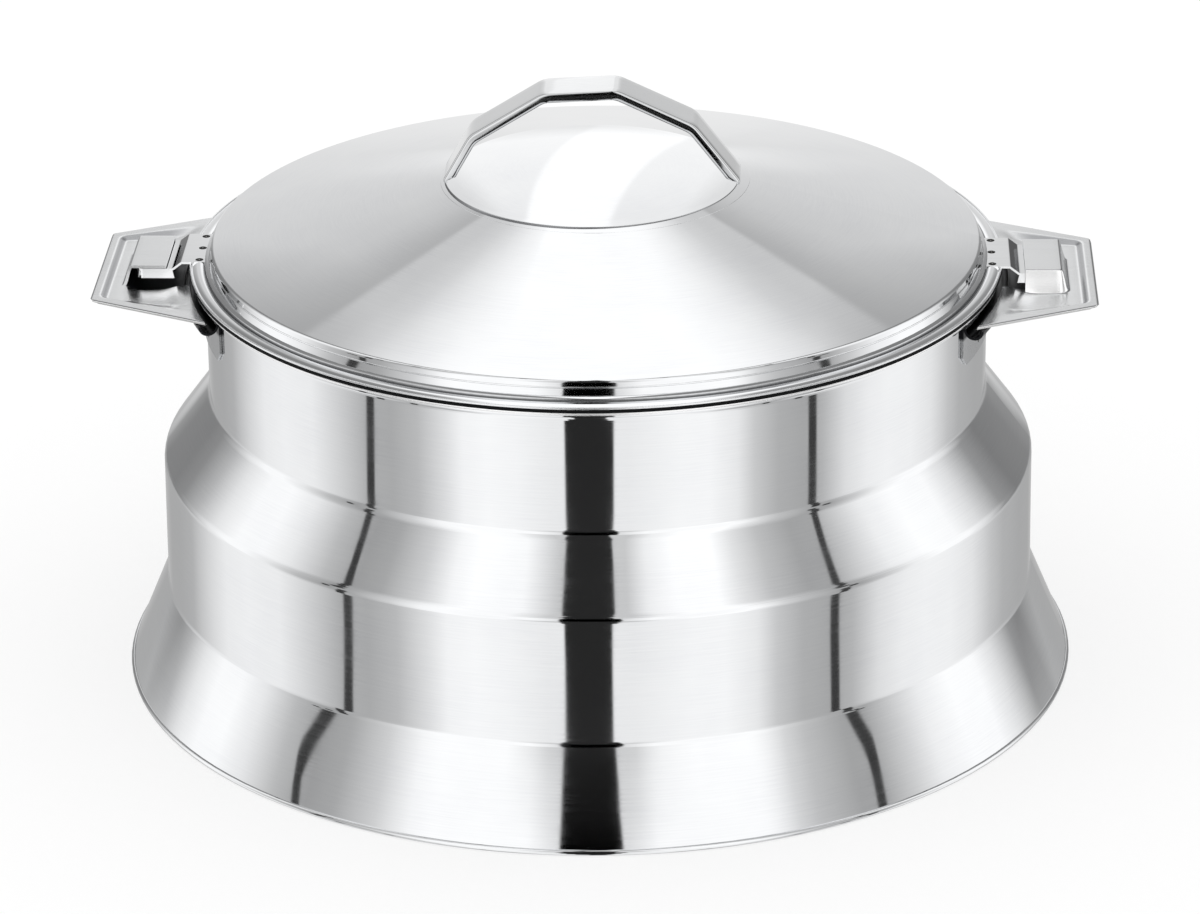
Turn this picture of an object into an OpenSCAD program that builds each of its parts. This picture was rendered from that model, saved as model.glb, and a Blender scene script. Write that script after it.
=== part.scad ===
// Insulated casserole: a stepped double-wall steel pot with a twist-lock lid, in millimetres.
// The origin is the centre of the base on the table. +Z is up and the side handles lie along X.

/* [Outer wall] */
// Radius of the folded edge that the pot stands on
base_r = 156; // [150:0.5:170]
// Radius of the drum at its lower crease
drum_low_r = 142.5; // [138:0.5:148]
// Radius of the drum at its shoulder
drum_top_r = 142.1; // [136:0.5:148]
// Radius of the neck
neck_r = 126.5; // [125:0.5:130]
// Height of the base flare
flare_h = 31.6; // [25:0.5:40]
// Height of the drum
drum_h = 42.3; // [30:0.5:60]
// Height of the shoulder cone
shoulder_h = 21; // [14:0.5:30]
// Height of the neck up to the seal seat
neck_h = 42; // [38:0.5:60]
// Thickness of the steel sheet of the outer wall
wall_t = 0.6; // [0.4:0.1:0.7]
// Radius of the soft creases between the drum, the cones and the neck
crease_r = 5; // [3:0.5:8]
// Width of the edge that is folded in under the pot
fold_w = 3.6; // [3:0.1:5]
// Height of the rounded bead at the folded edge
fold_h = 1.8; // [1.6:0.1:2.6]
// Thickness of the steel disc that closes the underside
base_plate_t = 0.8; // [0.5:0.1:1.5]

/* [Bowl] */
// Distance from the narrowest ring of the outer wall in to the bowl's inside
bowl_inset = 7; // [6:0.5:15]
// Depth of the bowl below its seal seat
bowl_depth = 116; // [90:1:125]
// Radius between the bowl's wall and its floor
bowl_corner_r = 22; // [12:1:40]
// Thickness of the bowl's sheet
bowl_t = 0.8; // [0.5:0.1:1.2]
// Radius at the bowl's mouth, where the wall turns into the seat
mouth_round = 1.5; // [0.9:0.1:2]
// Radius of the rolled bead around the rim
bead_r = 0.7; // [0.5:0.05:0.8]
// Reach of the bead's middle beyond the neck
rim_reach = 4; // [3.6:0.1:5]

/* [Lid] */
// Width of the lid's flange around the lip wall
flange_w = 5.5; // [5:0.1:7]
// Width of the drooping edge of the flange
droop_w = 2; // [1:0.1:3]
// Droop of the flange at its edge
flange_droop = 0.12; // [0:0.02:0.2]
// Lean of the lip wall from its foot to its crease
lip_lean = 1.1; // [0.5:0.1:2]
// Lean of the band between the crease and the cone's edge
band_lean = 0.4; // [0.1:0.1:1.2]
// Height of the crease above the flange
lip_crease_h = 4.1; // [3:0.1:6]
// Height of the cone's edge above the crease
lip_band_h = 2.1; // [1.5:0.1:4]
// Rise of the cone from its edge to the seat of the crown
cone_h = 19.4; // [12:0.1:30]
// Margin of the flat seat around the crown disc
seat_margin = 0.8; // [0.6:0.1:4]
// Thickness of the lid's outer sheet
lid_t = 0.6; // [0.4:0.1:0.8]
// Thickness of the seal ring
gasket_t = 1.2; // [1.1:0.1:1.6]
// Width of the seal ring
gasket_w = 5.5; // [4:0.1:6]
// Distance from the lid's edge in to the seal ring
gasket_inset = 3.7; // [3:0.1:4.5]
// Clearance around the plug in the bowl's mouth
plug_gap = 1.7; // [1:0.1:3]
// Depth of the plug below the flange
plug_depth = 11; // [9:0.5:20]
// Thickness of the liner's sheet
liner_t = 0.6; // [0.4:0.1:0.8]

/* [Crown and strap handle] */
// Sideways set of the crown and its handle
crown_set = 1.2; // [0:0.1:1.4]
// Radius of the crown disc
crown_r = 48.8; // [46:0.1:56]
// Rise of the crown disc at its middle
crown_rise = 4; // [2:0.5:7]
// Thickness of the crown disc
crown_t = 0.6; // [0.4:0.1:0.8]
// Height of the strap's top above its seat
strap_h = 31.7; // [26:0.1:45]
// Height of the strap's knees above its seat
knee_h = 18.7; // [14:0.1:22]
// Distance from the crown's edge in to a foot bend
foot_inset = 1.8; // [1.4:0.1:3]
// Distance from the middle to a knee
knee_x = 36; // [30:0.5:40]
// Distance from the middle to a shoulder
shoulder_x = 12; // [8:0.5:18]
// Width of the strap
strap_w = 16; // [14:0.5:17]
// Thickness of the strap's sheet
strap_t = 0.8; // [0.7:0.05:1]
// Depth of the strap's turned-down sides
strap_side = 3.2; // [2.5:0.1:4]
// Bend radius of the strap
strap_bend = 4; // [3.4:0.1:5]
// Width of the relief cut in the turned-down sides at each bend
relief_w = 0.8; // [0.5:0.1:1.5]
// Length of a foot under the crown disc
foot_l = 14; // [12:0.5:18]
// Sideways set of the strap's top
strap_sway = 1.6; // [0:0.1:2.6]
// Lean of the strap's top in degrees
strap_lean = 3.2; // [0:0.1:3.6]

/* [Side handles] */
// Length of a handle from its root arc to its outer edge
plate_l = 29.7; // [28.5:0.1:45]
// Half width of a handle at its outer edge
plate_end_y = 30; // [27:0.5:38]
// Half width of a handle at its root
plate_root_y = 49.3; // [44:0.1:54]
// Clearance between a handle's root arc and the rim
root_gap = 0.4; // [0.3:0.1:0.9]
// Height of a handle's top face below the seal seat
plate_drop = 3.9; // [3.5:0.1:4.2]
// Thickness of a handle's sheet
plate_t = 1; // [0.8:0.1:1.2]
// Rounding of a handle's outer corners
plate_round = 3; // [2:0.5:6]
// Depth of the recessed panel
panel_depth = 1.7; // [1.2:0.1:1.9]
// Border around the panel at the outer edge
border_w = 4; // [3.5:0.1:5]
// Border around the panel along the slanted sides at the outer edge
border_end_w = 4.8; // [4:0.1:7]
// Border around the panel along the slanted sides at the root
border_root_w = 8; // [7:0.5:12]
// Width of the strip between the root arc and the panel
root_strip = 4; // [3.8:0.1:4.4]

/* [Lock] */
// Clearance between a tab and the foot of the lip wall
tab_gap = 0.65; // [0.6:0.05:1.2]
// Reach of a tab's upper flat beyond the lid's edge
tab_reach = 2.3; // [2:0.1:2.8]
// Length of a tab's stepped bend
tab_step_l = 3; // [2.5:0.1:3.4]
// Length of a tab's lower flat
tongue_l = 12.5; // [10:0.1:12.8]
// Rounding of a tab's outer corners
tab_round = 3; // [1.5:0.1:5]
// Width of a tab
tab_w = 25.6; // [22:0.1:27]
// Thickness of a tab's sheet
tab_t = 0.7; // [0.6:0.05:0.8]
// Drop of a tab at its stepped bend
tab_drop = 2.3; // [2.1:0.1:2.6]
// Clearance between a tab's turned-down sides and the handle's top face
side_gap = 0.8; // [0.4:0.1:1.6]
// Clearance between a tab and the roof of the bridge that holds it
lock_gap = 0.7; // [0.5:0.05:0.9]
// Clearance between a tab and a bridge's closed end
stop_gap = 0.5; // [0.3:0.05:1]
// Clearance between a tab's stepped bend and a bridge's inner edge
step_gap = 1.8; // [1.2:0.1:2.4]
// Thickness of a bridge's sheet
bridge_t = 0.8; // [0.6:0.1:0.9]
// Lean of a bridge's side walls, measured along the panel
bridge_slope = 2.4; // [1.6:0.1:3]
// Length of the open pocket in front of a bridge
pocket_l = 3; // [2:0.5:6]
// Length of the bridge's roof beyond the tab at its open end
mouth_l = 1.2; // [0.8:0.1:3]

/* [Brackets] */
// Thickness of a bracket's sheet
bracket_t = 0.8; // [0.6:0.1:1]
// Reach of a bracket beyond each root corner of its handle
ear_l = 1; // [0.2:0.1:3]
// Height of the flange that hugs the neck
flange_h = 13.5; // [10:0.5:18]
// Outer radius of the half-round gutter
gutter_r = 3.35; // [3:0.05:3.5]
// Margin of the pocket floor beyond the pocket
floor_margin = 3; // [1.5:0.1:6]
// Clearance between a bracket and the neck
neck_gap = 0.05; // [0.03:0.01:0.1]

/* [Hidden] */
$fn = 144;

// Overrun of every cut past the surface that it leaves
cut = 0.5;
// Slack between foam and the sheet around it
foam_gap = 0.1;
// Slack around a weld mark in its hole
weld_gap = 0.03;
// Depth of a weld mark below the sheet's face
weld_sink = 0.12;
// Height of the thin slices that a sloping solid spans between
skin = 0.05;
// Steps in each rounded corner of an outline
round_steps = 8;
// Colours of the polished steel, its shaded inner parts, the foam and the seal
steel = [0.80, 0.81, 0.82];
inner_steel = [0.70, 0.71, 0.72];
foam = [0.93, 0.86, 0.62];
seal_black = [0.10, 0.10, 0.11];

// Heights of the outer wall's creases, from the table up
drum_low_z = flare_h;
drum_top_z = drum_low_z + drum_h;
neck_low_z = drum_top_z + shoulder_h;
// The seal seat is the flat ring around the bowl's mouth
seat_z = neck_low_z + neck_h;
// The neck turns out under the seat over this radius
neck_flare_r = rim_reach * 2 / 3;
bead_ring_r = neck_r + rim_reach;
// The bowl hangs clear of the narrowest ring of the outer wall
bowl_r = min(neck_r, drum_top_r, drum_low_r) - bowl_inset;
// The wall's flange ends a little inside the bead
flange_end_r = bead_ring_r - bead_r / 2;

// Heights of the lid
lid_low_z = seat_z + gasket_t;
lid_flange_z = lid_low_z + lid_t;
lip_crease_z = lid_flange_z + lip_crease_h;
cone_edge_z = lip_crease_z + lip_band_h;
crown_seat_z = cone_edge_z + cone_h;
lid_r = bead_ring_r + bead_r;
droop_r = lid_r - droop_w;
lip_foot_r = lid_r - flange_w;
lip_crease_r = lip_foot_r - lip_lean;
cone_edge_r = lip_crease_r - band_lean;
crown_seat_r = crown_r + seat_margin;
gasket_out_r = lid_r - gasket_inset;
gasket_in_r = gasket_out_r - gasket_w;
lip_foot_round = 0.7;
cone_edge_round = 1.2;
seat_edge_round = 2;
plug_r = bowl_r - plug_gap;
plug_round = 5;
liner_mouth_round = 1.5;
liner_end_r = lip_foot_r - lid_t - foam_gap;

// Heights of the side handles and the lock
plate_z = seat_z - plate_drop;
plate_low_z = plate_z - plate_t;
panel_z = plate_z - panel_depth;
panel_low_z = panel_z - plate_t;
tab_top_z = lid_flange_z + tab_t;
tab_low_z = tab_top_z - tab_drop;
tab_side_low_z = plate_z + side_gap;
tab_half = tab_w / 2;
tab_in_r = lip_foot_r + tab_gap;
tab_step_x = lid_r + tab_reach;
tab_low_x = tab_step_x + tab_step_l;
tab_end_x = tab_low_x + tongue_l;
plate_root_r = lid_r + root_gap;
plate_end_x = plate_root_r + plate_l;
plate_root_x = sqrt(pow(plate_root_r + bead_r, 2) - pow(plate_root_y, 2));
panel_in_x = plate_root_r + root_strip;
tab_bend = 1;
bridge_low_z = tab_low_z + lock_gap;
bridge_z = bridge_low_z + bridge_t;
bridge_in_x = tab_low_x + step_gap;
bridge_end_x = tab_end_x + 2 * bridge_t;
bridge_closed_y = -tab_half - stop_gap - bridge_t;
bridge_open_y = tab_half + mouth_l;
bridge_round = 2;
// Height over which the bridge's roof rounds into its walls
roof_round = 1.8;
// Places of the spot welds
tab_weld_x = tab_in_r + 2 * tab_t;
tab_weld_r = 1.3;
tab_weld_margin = 1;
tab_weld_pitch = tab_half - tab_weld_r - tab_weld_margin;
bracket_weld_r = 1.6;
// A bracket reaches past its handle's corners by the ears
bracket_half_a = atan(plate_root_y / plate_root_x) + ear_l / plate_root_r * 180 / PI;
bracket_weld_shares = [-2 / 3, -2 / 9, 2 / 9, 2 / 3];
strap_weld_r = 1.5;
strap_weld_y = strap_w / 4;

function unit(v) = v / norm(v);
function left_of(v) = [-v[1], v[0]];
function reversed(list) = [for (i = [len(list) - 1 : -1 : 0]) list[i]];
function turned(v, a) = [v[0] * cos(a) - v[1] * sin(a), v[0] * sin(a) + v[1] * cos(a)];

// Points of the arc that rounds corner b, between its neighbours a and c
function corner_arc(a, b, c, r) =
    let (
        to_a = unit(a - b),
        to_c = unit(c - b),
        half = acos(to_a * to_c) / 2,
        centre = b + unit(to_a + to_c) * r / sin(half),
        start = b + to_a * r / tan(half) - centre,
        way = cross(to_a, to_c) > 0 ? -1 : 1,
        sweep = 180 - 2 * half
    )
    [for (i = [0 : round_steps]) centre + turned(start, way * sweep * i / round_steps)];

// An open path with its inner corners rounded
function rounded_path(pts, radii) =
    [for (i = [0 : len(pts) - 1])
        each (radii[i] == 0 ? [pts[i]] : corner_arc(pts[i - 1], pts[i], pts[i + 1], radii[i]))];

// A closed outline with its corners rounded
function rounded_loop(pts, radii) =
    let (n = len(pts))
    [for (i = [0 : n - 1])
        each (radii[i] == 0 ? [pts[i]]
            : corner_arc(pts[(i + n - 1) % n], pts[i], pts[(i + 1) % n], radii[i]))];

// The same path moved sideways by t, to the left of its own direction
function moved_path(pts, t) =
    let (last = len(pts) - 1)
    [for (i = [0 : last])
        let (
            before = unit(i > 0 ? pts[i] - pts[i - 1] : pts[1] - pts[0]),
            after = unit(i < last ? pts[i + 1] - pts[i] : pts[last] - pts[last - 1]),
            side = unit(left_of(before) + left_of(after))
        )
        pts[i] + side * t / (side * left_of(before))];

// Where the line from a to b reaches the height z
function at_height(a, b, z) = a + (b - a) * (z - a[1]) / (b[1] - a[1]);

// A sheet of thickness t on the left side of a path, or on the right if t is negative
module sheet(pts, t) {
    polygon(concat(pts, reversed(moved_path(pts, t))));
}

// A solid between two outlines at two heights, with the given outlines as polygons
module between(low, high, low_z, high_z) {
    hull() {
        translate([0, 0, low_z]) linear_extrude(skin) polygon(low);
        translate([0, 0, high_z - skin]) linear_extrude(skin) polygon(high);
    }
}

// Outer surface of the outer wall, from the rim down to the bead at its foot
flange_low_z = seat_z - bowl_t - wall_t;
hem_r = fold_h / 2;
wall_foot_x = base_r - hem_r - skin;
wall_path = rounded_path(
    [
        [flange_end_r, flange_low_z],
        [neck_r, flange_low_z],
        [neck_r, neck_low_z],
        [drum_top_r, drum_top_z],
        [drum_low_r, drum_low_z],
        [wall_foot_x, fold_h]
    ],
    [0, neck_flare_r, crease_r, crease_r, crease_r, 0]
);
// The bead and the edge that is folded in flat under the pot
hem_arc = [for (i = [0 : 2 * round_steps])
    let (a = 90 - 90 * i / round_steps)
    [base_r - hem_r + hem_r * cos(a), hem_r + hem_r * sin(a)]];
hemmed_path = concat(wall_path, hem_arc, [[base_r - fold_w, 0]]);

// Inner surface of the bowl, from its flange in to the axis
bowl_floor_z = seat_z - bowl_depth;
bowl_path = rounded_path(
    [
        [bead_ring_r, seat_z],
        [bowl_r, seat_z],
        [bowl_r, bowl_floor_z],
        [0, bowl_floor_z]
    ],
    [0, mouth_round, bowl_corner_r, 0]
);

// Top surface of the lid, from its flange in to the axis
lid_path = rounded_path(
    [
        [lid_r, lid_flange_z - flange_droop],
        [droop_r, lid_flange_z],
        [lip_foot_r, lid_flange_z],
        [lip_crease_r, lip_crease_z],
        [cone_edge_r, cone_edge_z],
        [crown_seat_r, crown_seat_z],
        [0, crown_seat_z]
    ],
    [0, 0, lip_foot_round, 0, cone_edge_round, seat_edge_round, 0]
);

// Lower surface of the lid's liner, from its edge in to the axis
liner_path = rounded_path(
    [
        [liner_end_r, lid_low_z],
        [plug_r, lid_low_z],
        [plug_r, lid_low_z - plug_depth],
        [0, lid_low_z - plug_depth]
    ],
    [0, liner_mouth_round, plug_round, 0]
);

module outer_shell() {
    color(steel) rotate_extrude() sheet(hemmed_path, -wall_t);
}

module inner_pot() {
    color(steel)
        rotate_extrude()
            union() {
                sheet(bowl_path, bowl_t);
                translate([bead_ring_r, seat_z + bead_r / 7]) circle(bead_r);
            }
}

// The base plate lies on the folded edge
base_plate_r = base_r - fold_w / 2;

module base_plate() {
    color(inner_steel)
        translate([0, 0, wall_t])
            cylinder(h = base_plate_t, r = base_plate_r);
}

module body_insulation() {
    foam_low_z = wall_t + base_plate_t + foam_gap;
    foam_top_z = seat_z - bowl_t - foam_gap;
    inside_wall = moved_path(wall_path, -wall_t - foam_gap);
    outside_bowl = moved_path(bowl_path, bowl_t + foam_gap);
    color(foam)
        rotate_extrude()
            intersection() {
                difference() {
                    polygon(concat([[0, foam_top_z + foam_gap]], inside_wall, [[0, 0]]));
                    polygon(concat([[bead_ring_r, seat_z + cut], [0, seat_z + cut]],
                        reversed(outside_bowl)));
                }
                translate([0, foam_low_z]) square([base_r, foam_top_z - foam_low_z]);
            }
}

module lid_shell() {
    color(steel) rotate_extrude() sheet(lid_path, lid_t);
}

module lid_liner() {
    color(inner_steel) rotate_extrude() sheet(liner_path, -liner_t);
}

module lid_insulation() {
    under_lid = moved_path(lid_path, lid_t + foam_gap);
    over_liner = moved_path(liner_path, -liner_t - foam_gap);
    foam_low_z = lid_low_z + liner_t + foam_gap;
    color(foam)
        rotate_extrude()
            difference() {
                polygon(concat(under_lid,
                    [[0, lid_low_z - plug_depth], [liner_end_r, lid_low_z - plug_depth]]));
                polygon(concat(
                    [[lid_r + cut, lid_low_z - plug_depth - cut], [lid_r + cut, foam_low_z]],
                    over_liner,
                    [[0, lid_low_z - plug_depth - cut]]));
            }
}

module lid_gasket() {
    color(seal_black)
        translate([0, 0, seat_z])
            difference() {
                cylinder(h = gasket_t, r = gasket_out_r);
                translate([0, 0, -cut]) cylinder(h = gasket_t + 2 * cut, r = gasket_in_r);
            }
}

// The crown disc lies on the strap's feet, and its edge is turned down a little
crown_low_z = crown_seat_z + strap_t;
crown_edge_drop = strap_t / 2;
crown_ball_r = (crown_r * crown_r + crown_rise * crown_rise) / (2 * crown_rise);
crown_half_a = asin(crown_r / crown_ball_r);
crown_steps = 16;
crown_path = concat(
    [[crown_r, crown_low_z - crown_edge_drop]],
    [for (i = [0 : crown_steps])
        let (a = crown_half_a * (1 - i / crown_steps))
        [i == crown_steps ? 0 : crown_ball_r * sin(a) - (i == 0 ? crown_t : 0),
            crown_low_z + crown_rise - crown_ball_r * (1 - cos(a))]]
);

foot_x = crown_r - foot_inset;
// Corners of the strap's outer face. Its top part leans and is set to one side.
function leaned(x, h) =
    [x * cos(strap_lean) - h * sin(strap_lean) - strap_sway,
        x * sin(strap_lean) + h * cos(strap_lean) + crown_seat_z];
strap_corners = [
    [-foot_x + foot_l, crown_seat_z],
    [-foot_x, crown_seat_z],
    leaned(-knee_x, knee_h),
    leaned(-shoulder_x, strap_h),
    leaned(shoulder_x, strap_h),
    leaned(knee_x, knee_h),
    [foot_x, crown_seat_z],
    [foot_x - foot_l, crown_seat_z]
];
foot_bend = 2 * strap_t;
strap_path = rounded_path(strap_corners,
    [0, foot_bend, strap_bend, strap_bend, strap_bend, strap_bend, foot_bend, 0]);
// The turned-down sides stop above the crown disc
side_low_z = crown_low_z + crown_rise / 2;
side_corners = [
    at_height(strap_corners[1], strap_corners[2], crown_seat_z + strap_t),
    each [for (i = [2 : 5]) strap_corners[i]],
    at_height(strap_corners[6], strap_corners[5], crown_seat_z + strap_t)
];
side_path = rounded_path(side_corners, [0, strap_bend, strap_bend, strap_bend, strap_bend, 0]);
strap_weld_x = foot_x - foot_l * 2 / 3;

module strap_handle() {
    color(steel)
        translate([-crown_set, 0, 0])
            difference() {
                union() {
                    rotate([90, 0, 0])
                        linear_extrude(strap_w, center = true)
                            sheet(strap_path, -strap_t);
                    difference() {
                        for (way = [-1, 1])
                            translate([0, way * (strap_w - strap_t) / 2, 0])
                                rotate([90, 0, 0])
                                    linear_extrude(strap_t, center = true)
                                        sheet(side_path, -strap_side);
                        translate([0, 0, side_low_z - knee_h / 2])
                            cube([3 * foot_x, 2 * strap_w, knee_h], center = true);
                    }
                }
                relief_cuts();
                for (way = [-1, 1], side = [-1, 1])
                    translate([way * strap_weld_x, side * strap_weld_y, crown_seat_z - cut])
                        cylinder(h = strap_t + 2 * cut, r = strap_weld_r, $fn = 32);
            }
}

// One cut across both sides at each bend, from their lower edge up to near the outer face
module relief_cuts() {
    for (i = [2 : 5]) {
        to_last = unit(strap_corners[i - 1] - strap_corners[i]);
        to_next = unit(strap_corners[i + 1] - strap_corners[i]);
        inward = unit(to_last + to_next);
        spot = strap_corners[i] + inward * (strap_t + strap_side);
        translate([spot[0], 0, spot[1]])
            rotate([0, -atan2(inward[1], inward[0]), 0])
                cube([strap_side, 2 * strap_w, relief_w], center = true);
    }
}

module strap_welds() {
    color(inner_steel)
        translate([-crown_set, 0, 0])
            for (way = [-1, 1], side = [-1, 1])
                translate([way * strap_weld_x, side * strap_weld_y, crown_seat_z])
                    cylinder(h = strap_t - weld_sink, r = strap_weld_r - weld_gap, $fn = 32);
}

module crown_disc() {
    // Each notch lets one leg of the strap pass the disc's edge
    notch_x = foot_x - 4 * strap_t;
    notch_w = strap_w + crown_t;
    color(steel)
        translate([-crown_set, 0, 0])
            difference() {
                rotate_extrude() sheet(crown_path, -crown_t);
                for (way = [-1, 1])
                    translate([way * (notch_x + crown_r / 2), 0, crown_low_z])
                        cube([crown_r, notch_w, 2 * crown_rise], center = true);
            }
}

// Plan of a side handle, from its slanted sides to its outer edge
plate_slant = (plate_root_y - plate_end_y) / (plate_end_x - plate_root_x);
plate_outline = rounded_loop(
    [
        [plate_root_x, -plate_root_y],
        [plate_end_x, -plate_end_y],
        [plate_end_x, plate_end_y],
        [plate_root_x, plate_root_y]
    ],
    [0, plate_round, plate_round, 0]
);
// Outline of the recessed panel, drawn in by a given amount
panel_end_x = plate_end_x - border_w;
panel_end_y = plate_end_y + border_w * plate_slant - border_end_w;
panel_in_y = plate_end_y + (plate_end_x - panel_in_x) * plate_slant - border_root_w;
panel_round = 4;
function panel_outline(draw) = rounded_loop(
    [
        [panel_in_x + draw, -panel_in_y + draw],
        [panel_end_x - draw, -panel_end_y + draw],
        [panel_end_x - draw, panel_end_y - draw],
        [panel_in_x + draw, panel_in_y - draw]
    ],
    [panel_round, panel_round, panel_round, panel_round]
);
// Outline of the bridge, spread outward at its outer wall and its closed end, and at its
// two open sides by another amount
function bridge_outline(spread, past) = rounded_loop(
    [
        [bridge_in_x - past, bridge_closed_y - spread],
        [bridge_end_x + spread, bridge_closed_y - spread],
        [bridge_end_x + spread, bridge_open_y + past],
        [bridge_in_x - past, bridge_open_y + past]
    ],
    [0, bridge_round, 0, 0]
);

// Solid under the bridge's roof, moved down by a given amount
module bridge_block(down, past) {
    roof_z = bridge_z - down;
    foot_z = panel_low_z - (down > 0 ? cut : 0);
    wall_z = roof_z - roof_round;
    hull() {
        between(bridge_outline(bridge_slope - down, past), bridge_outline(roof_round / 3 - down, past),
            foot_z, wall_z);
        translate([0, 0, wall_z])
            linear_extrude(roof_round * 2 / 3) polygon(bridge_outline(-down, past));
        translate([0, 0, wall_z])
            linear_extrude(roof_round) polygon(bridge_outline(-roof_round / 2 - down, past));
    }
}

module handle_plate() {
    pocket_round = 2;
    color(steel)
        difference() {
            union() {
                difference() {
                    union() {
                        translate([0, 0, plate_low_z]) linear_extrude(plate_t) polygon(plate_outline);
                        between(panel_outline(panel_depth), panel_outline(0), panel_low_z, plate_low_z);
                    }
                    between(panel_outline(panel_depth), panel_outline(0), panel_z, plate_z);
                }
                bridge_block(0, 0);
            }
            bridge_block(bridge_t, cut);
            translate([0, 0, panel_low_z - cut])
                linear_extrude(plate_t + 2 * cut)
                    polygon(rounded_loop(
                        [
                            [bridge_in_x, bridge_open_y - pocket_l],
                            [bridge_end_x, bridge_open_y - pocket_l],
                            [bridge_end_x, bridge_open_y + pocket_l],
                            [bridge_in_x, bridge_open_y + pocket_l]
                        ],
                        [0, 0, pocket_round, pocket_round]));
            translate([0, 0, panel_low_z - cut]) cylinder(h = bridge_z, r = plate_root_r);
        }
}

// A bracket: a flange on the neck, a half-round gutter and the floor of the lock's pocket
flange_in_r = neck_r + neck_gap;
bracket_low_z = plate_low_z - flange_h;
gutter_ring_r = flange_in_r + bracket_t + gutter_r;
floor_in_x = gutter_ring_r + gutter_r - bracket_t;
floor_end_x = panel_end_x - panel_depth - plate_t;
floor_half_w = bridge_open_y + pocket_l + floor_margin;

module bracket() {
    foot_cut = flange_h / 4;
    module weld_holes()
        for (share = bracket_weld_shares)
            rotate([0, 0, share * bracket_half_a])
                translate([flange_in_r - cut, 0, bracket_low_z + flange_h / 3])
                    rotate([0, 90, 0])
                        cylinder(h = bracket_t + 2 * cut, r = bracket_weld_r, $fn = 32);
    color(inner_steel)
        difference() {
            union() {
                rotate([0, 0, -bracket_half_a])
                    rotate_extrude(angle = 2 * bracket_half_a)
                        union() {
                            translate([flange_in_r, bracket_low_z]) square([bracket_t, flange_h]);
                            translate([flange_in_r, plate_low_z - bracket_t])
                                square([gutter_ring_r - gutter_r - flange_in_r + bracket_t / 2, bracket_t]);
                            difference() {
                                translate([gutter_ring_r, plate_low_z]) circle(gutter_r);
                                translate([gutter_ring_r, plate_low_z]) circle(gutter_r - bracket_t);
                                translate([flange_in_r, plate_low_z])
                                    square([3 * gutter_r, 2 * gutter_r]);
                            }
                        }
                translate([floor_in_x, -floor_half_w, panel_low_z - bracket_t])
                    cube([floor_end_x - floor_in_x, 2 * floor_half_w, bracket_t]);
            }
            weld_holes();
            for (way = [-1, 1])
                rotate([0, 0, way * bracket_half_a])
                    translate([flange_in_r, 0, bracket_low_z])
                        rotate([45, 0, 0])
                            cube([gutter_r, sqrt(2) * foot_cut, sqrt(2) * foot_cut], center = true);
        }
}

module bracket_welds() {
    color(inner_steel)
        for (share = bracket_weld_shares)
            rotate([0, 0, share * bracket_half_a])
                translate([flange_in_r, 0, bracket_low_z + flange_h / 3])
                    rotate([0, 90, 0])
                        cylinder(h = bracket_t - weld_sink, r = bracket_weld_r - weld_gap, $fn = 32);
}

// A lock tab: its top face from the lip wall out, and its turned-down sides
tab_path = rounded_path(
    [
        [tab_in_r - tab_bend, tab_top_z],
        [tab_step_x, tab_top_z],
        [tab_low_x, tab_low_z],
        [tab_end_x, tab_low_z]
    ],
    [0, tab_bend, tab_bend, 0]
);
tab_side_round = 2.4;
tab_side_outline = rounded_loop(
    [
        [tab_low_x - tab_t, tab_side_low_z],
        [tab_end_x, tab_side_low_z],
        [tab_end_x, tab_low_z],
        [tab_low_x, tab_low_z]
    ],
    [0, tab_side_round, 0, 0]
);

// Plan of a tab, with its two outer corners rounded
tab_plan = rounded_loop(
    [
        [tab_in_r - tab_step_x + tab_low_x, -tab_half],
        [tab_end_x, -tab_half],
        [tab_end_x, tab_half],
        [tab_in_r - tab_step_x + tab_low_x, tab_half]
    ],
    [0, tab_round, tab_round, 0]
);

module lock_tab() {
    color(steel)
        difference() {
            intersection() {
                union() {
                    rotate([90, 0, 0])
                        linear_extrude(tab_w, center = true)
                            sheet(tab_path, -tab_t);
                    for (way = [-1, 1])
                        translate([0, way * (tab_half - tab_t / 2), 0])
                            rotate([90, 0, 0])
                                linear_extrude(tab_t, center = true)
                                    polygon(tab_side_outline);
                }
                translate([0, 0, tab_side_low_z - cut])
                    linear_extrude(tab_top_z - tab_side_low_z + 2 * cut)
                        polygon(concat([[tab_in_r / 2, -tab_half]], tab_plan, [[tab_in_r / 2, tab_half]]));
            }
            translate([0, 0, lid_flange_z - cut]) cylinder(h = tab_t + 2 * cut, r = tab_in_r);
            for (step = [-1, 0, 1])
                translate([tab_weld_x, step * tab_weld_pitch, lid_flange_z - cut])
                    cylinder(h = tab_t + 2 * cut, r = tab_weld_r, $fn = 32);
        }
}

module tab_welds() {
    color(inner_steel)
        for (step = [-1, 0, 1])
            translate([tab_weld_x, step * tab_weld_pitch, lid_flange_z])
                cylinder(h = tab_t - weld_sink, r = tab_weld_r - weld_gap, $fn = 32);
}

// The right side is drawn above, and the left one is the same turned half round
module to_the_left() {
    rotate([0, 0, 180]) children();
}

outer_shell();
inner_pot();
body_insulation();
base_plate();
to_the_left() handle_plate();  // left_handle_plate
handle_plate();  // right_handle_plate
to_the_left() bracket();  // left_handle_bracket
bracket();  // right_handle_bracket
to_the_left() bracket_welds();  // left_bracket_welds
bracket_welds();  // right_bracket_welds
lid_shell();
lid_liner();
lid_insulation();
lid_gasket();
crown_disc();
strap_handle();
strap_welds();
to_the_left() lock_tab();  // left_lock_tab
lock_tab();  // right_lock_tab
to_the_left() tab_welds();  // left_tab_welds
tab_welds();  // right_tab_welds
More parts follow.
